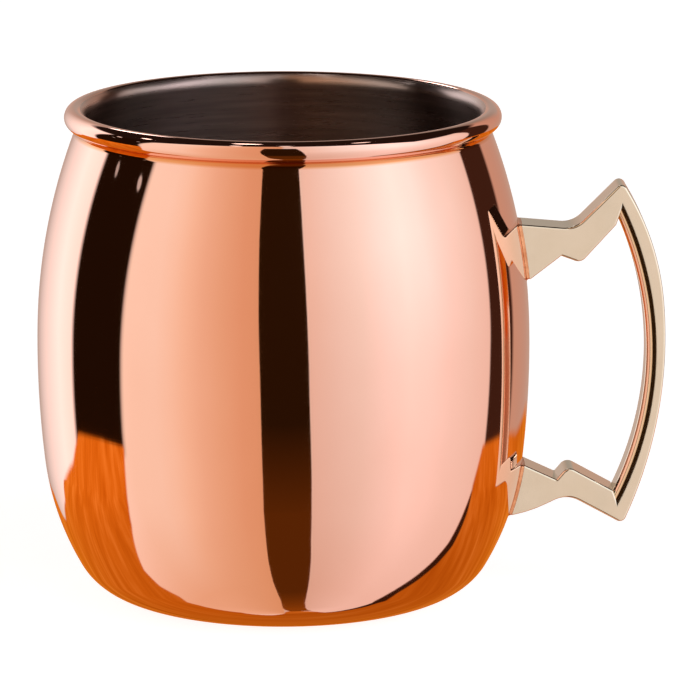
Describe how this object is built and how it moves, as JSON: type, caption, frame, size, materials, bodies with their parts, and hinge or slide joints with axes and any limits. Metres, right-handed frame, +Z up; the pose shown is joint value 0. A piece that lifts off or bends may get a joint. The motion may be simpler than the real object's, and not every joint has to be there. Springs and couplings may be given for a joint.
{
  "type": "drinking mug",
  "caption": "Barrel-shaped copper drinking mug with a rolled rim, a dark metal lining and an angular cast bow handle.",
  "frame": {"origin": "centre of the flat base, on the bowl's axis", "axes": "+Z up along the bowl's axis; +X from the axis towards the handle; the part is symmetric about the XZ plane"},
  "size_m": [0.1212, 0.095, 0.095],
  "materials": {
    "polished_copper": "mirror polished copper",
    "dark_lining": "dark metal, brushed round the bowl",
    "cast_brass": "pale brass, polished",
    "braze_filler": "polished copper-coloured filler"
  },
  "bodies": {
    "root": {"outer_shell": "polished_copper", "inner_lining": "dark_lining", "handle": "cast_brass", "upper_braze": "braze_filler", "lower_braze": "braze_filler"}
  },
  "joints": []
}
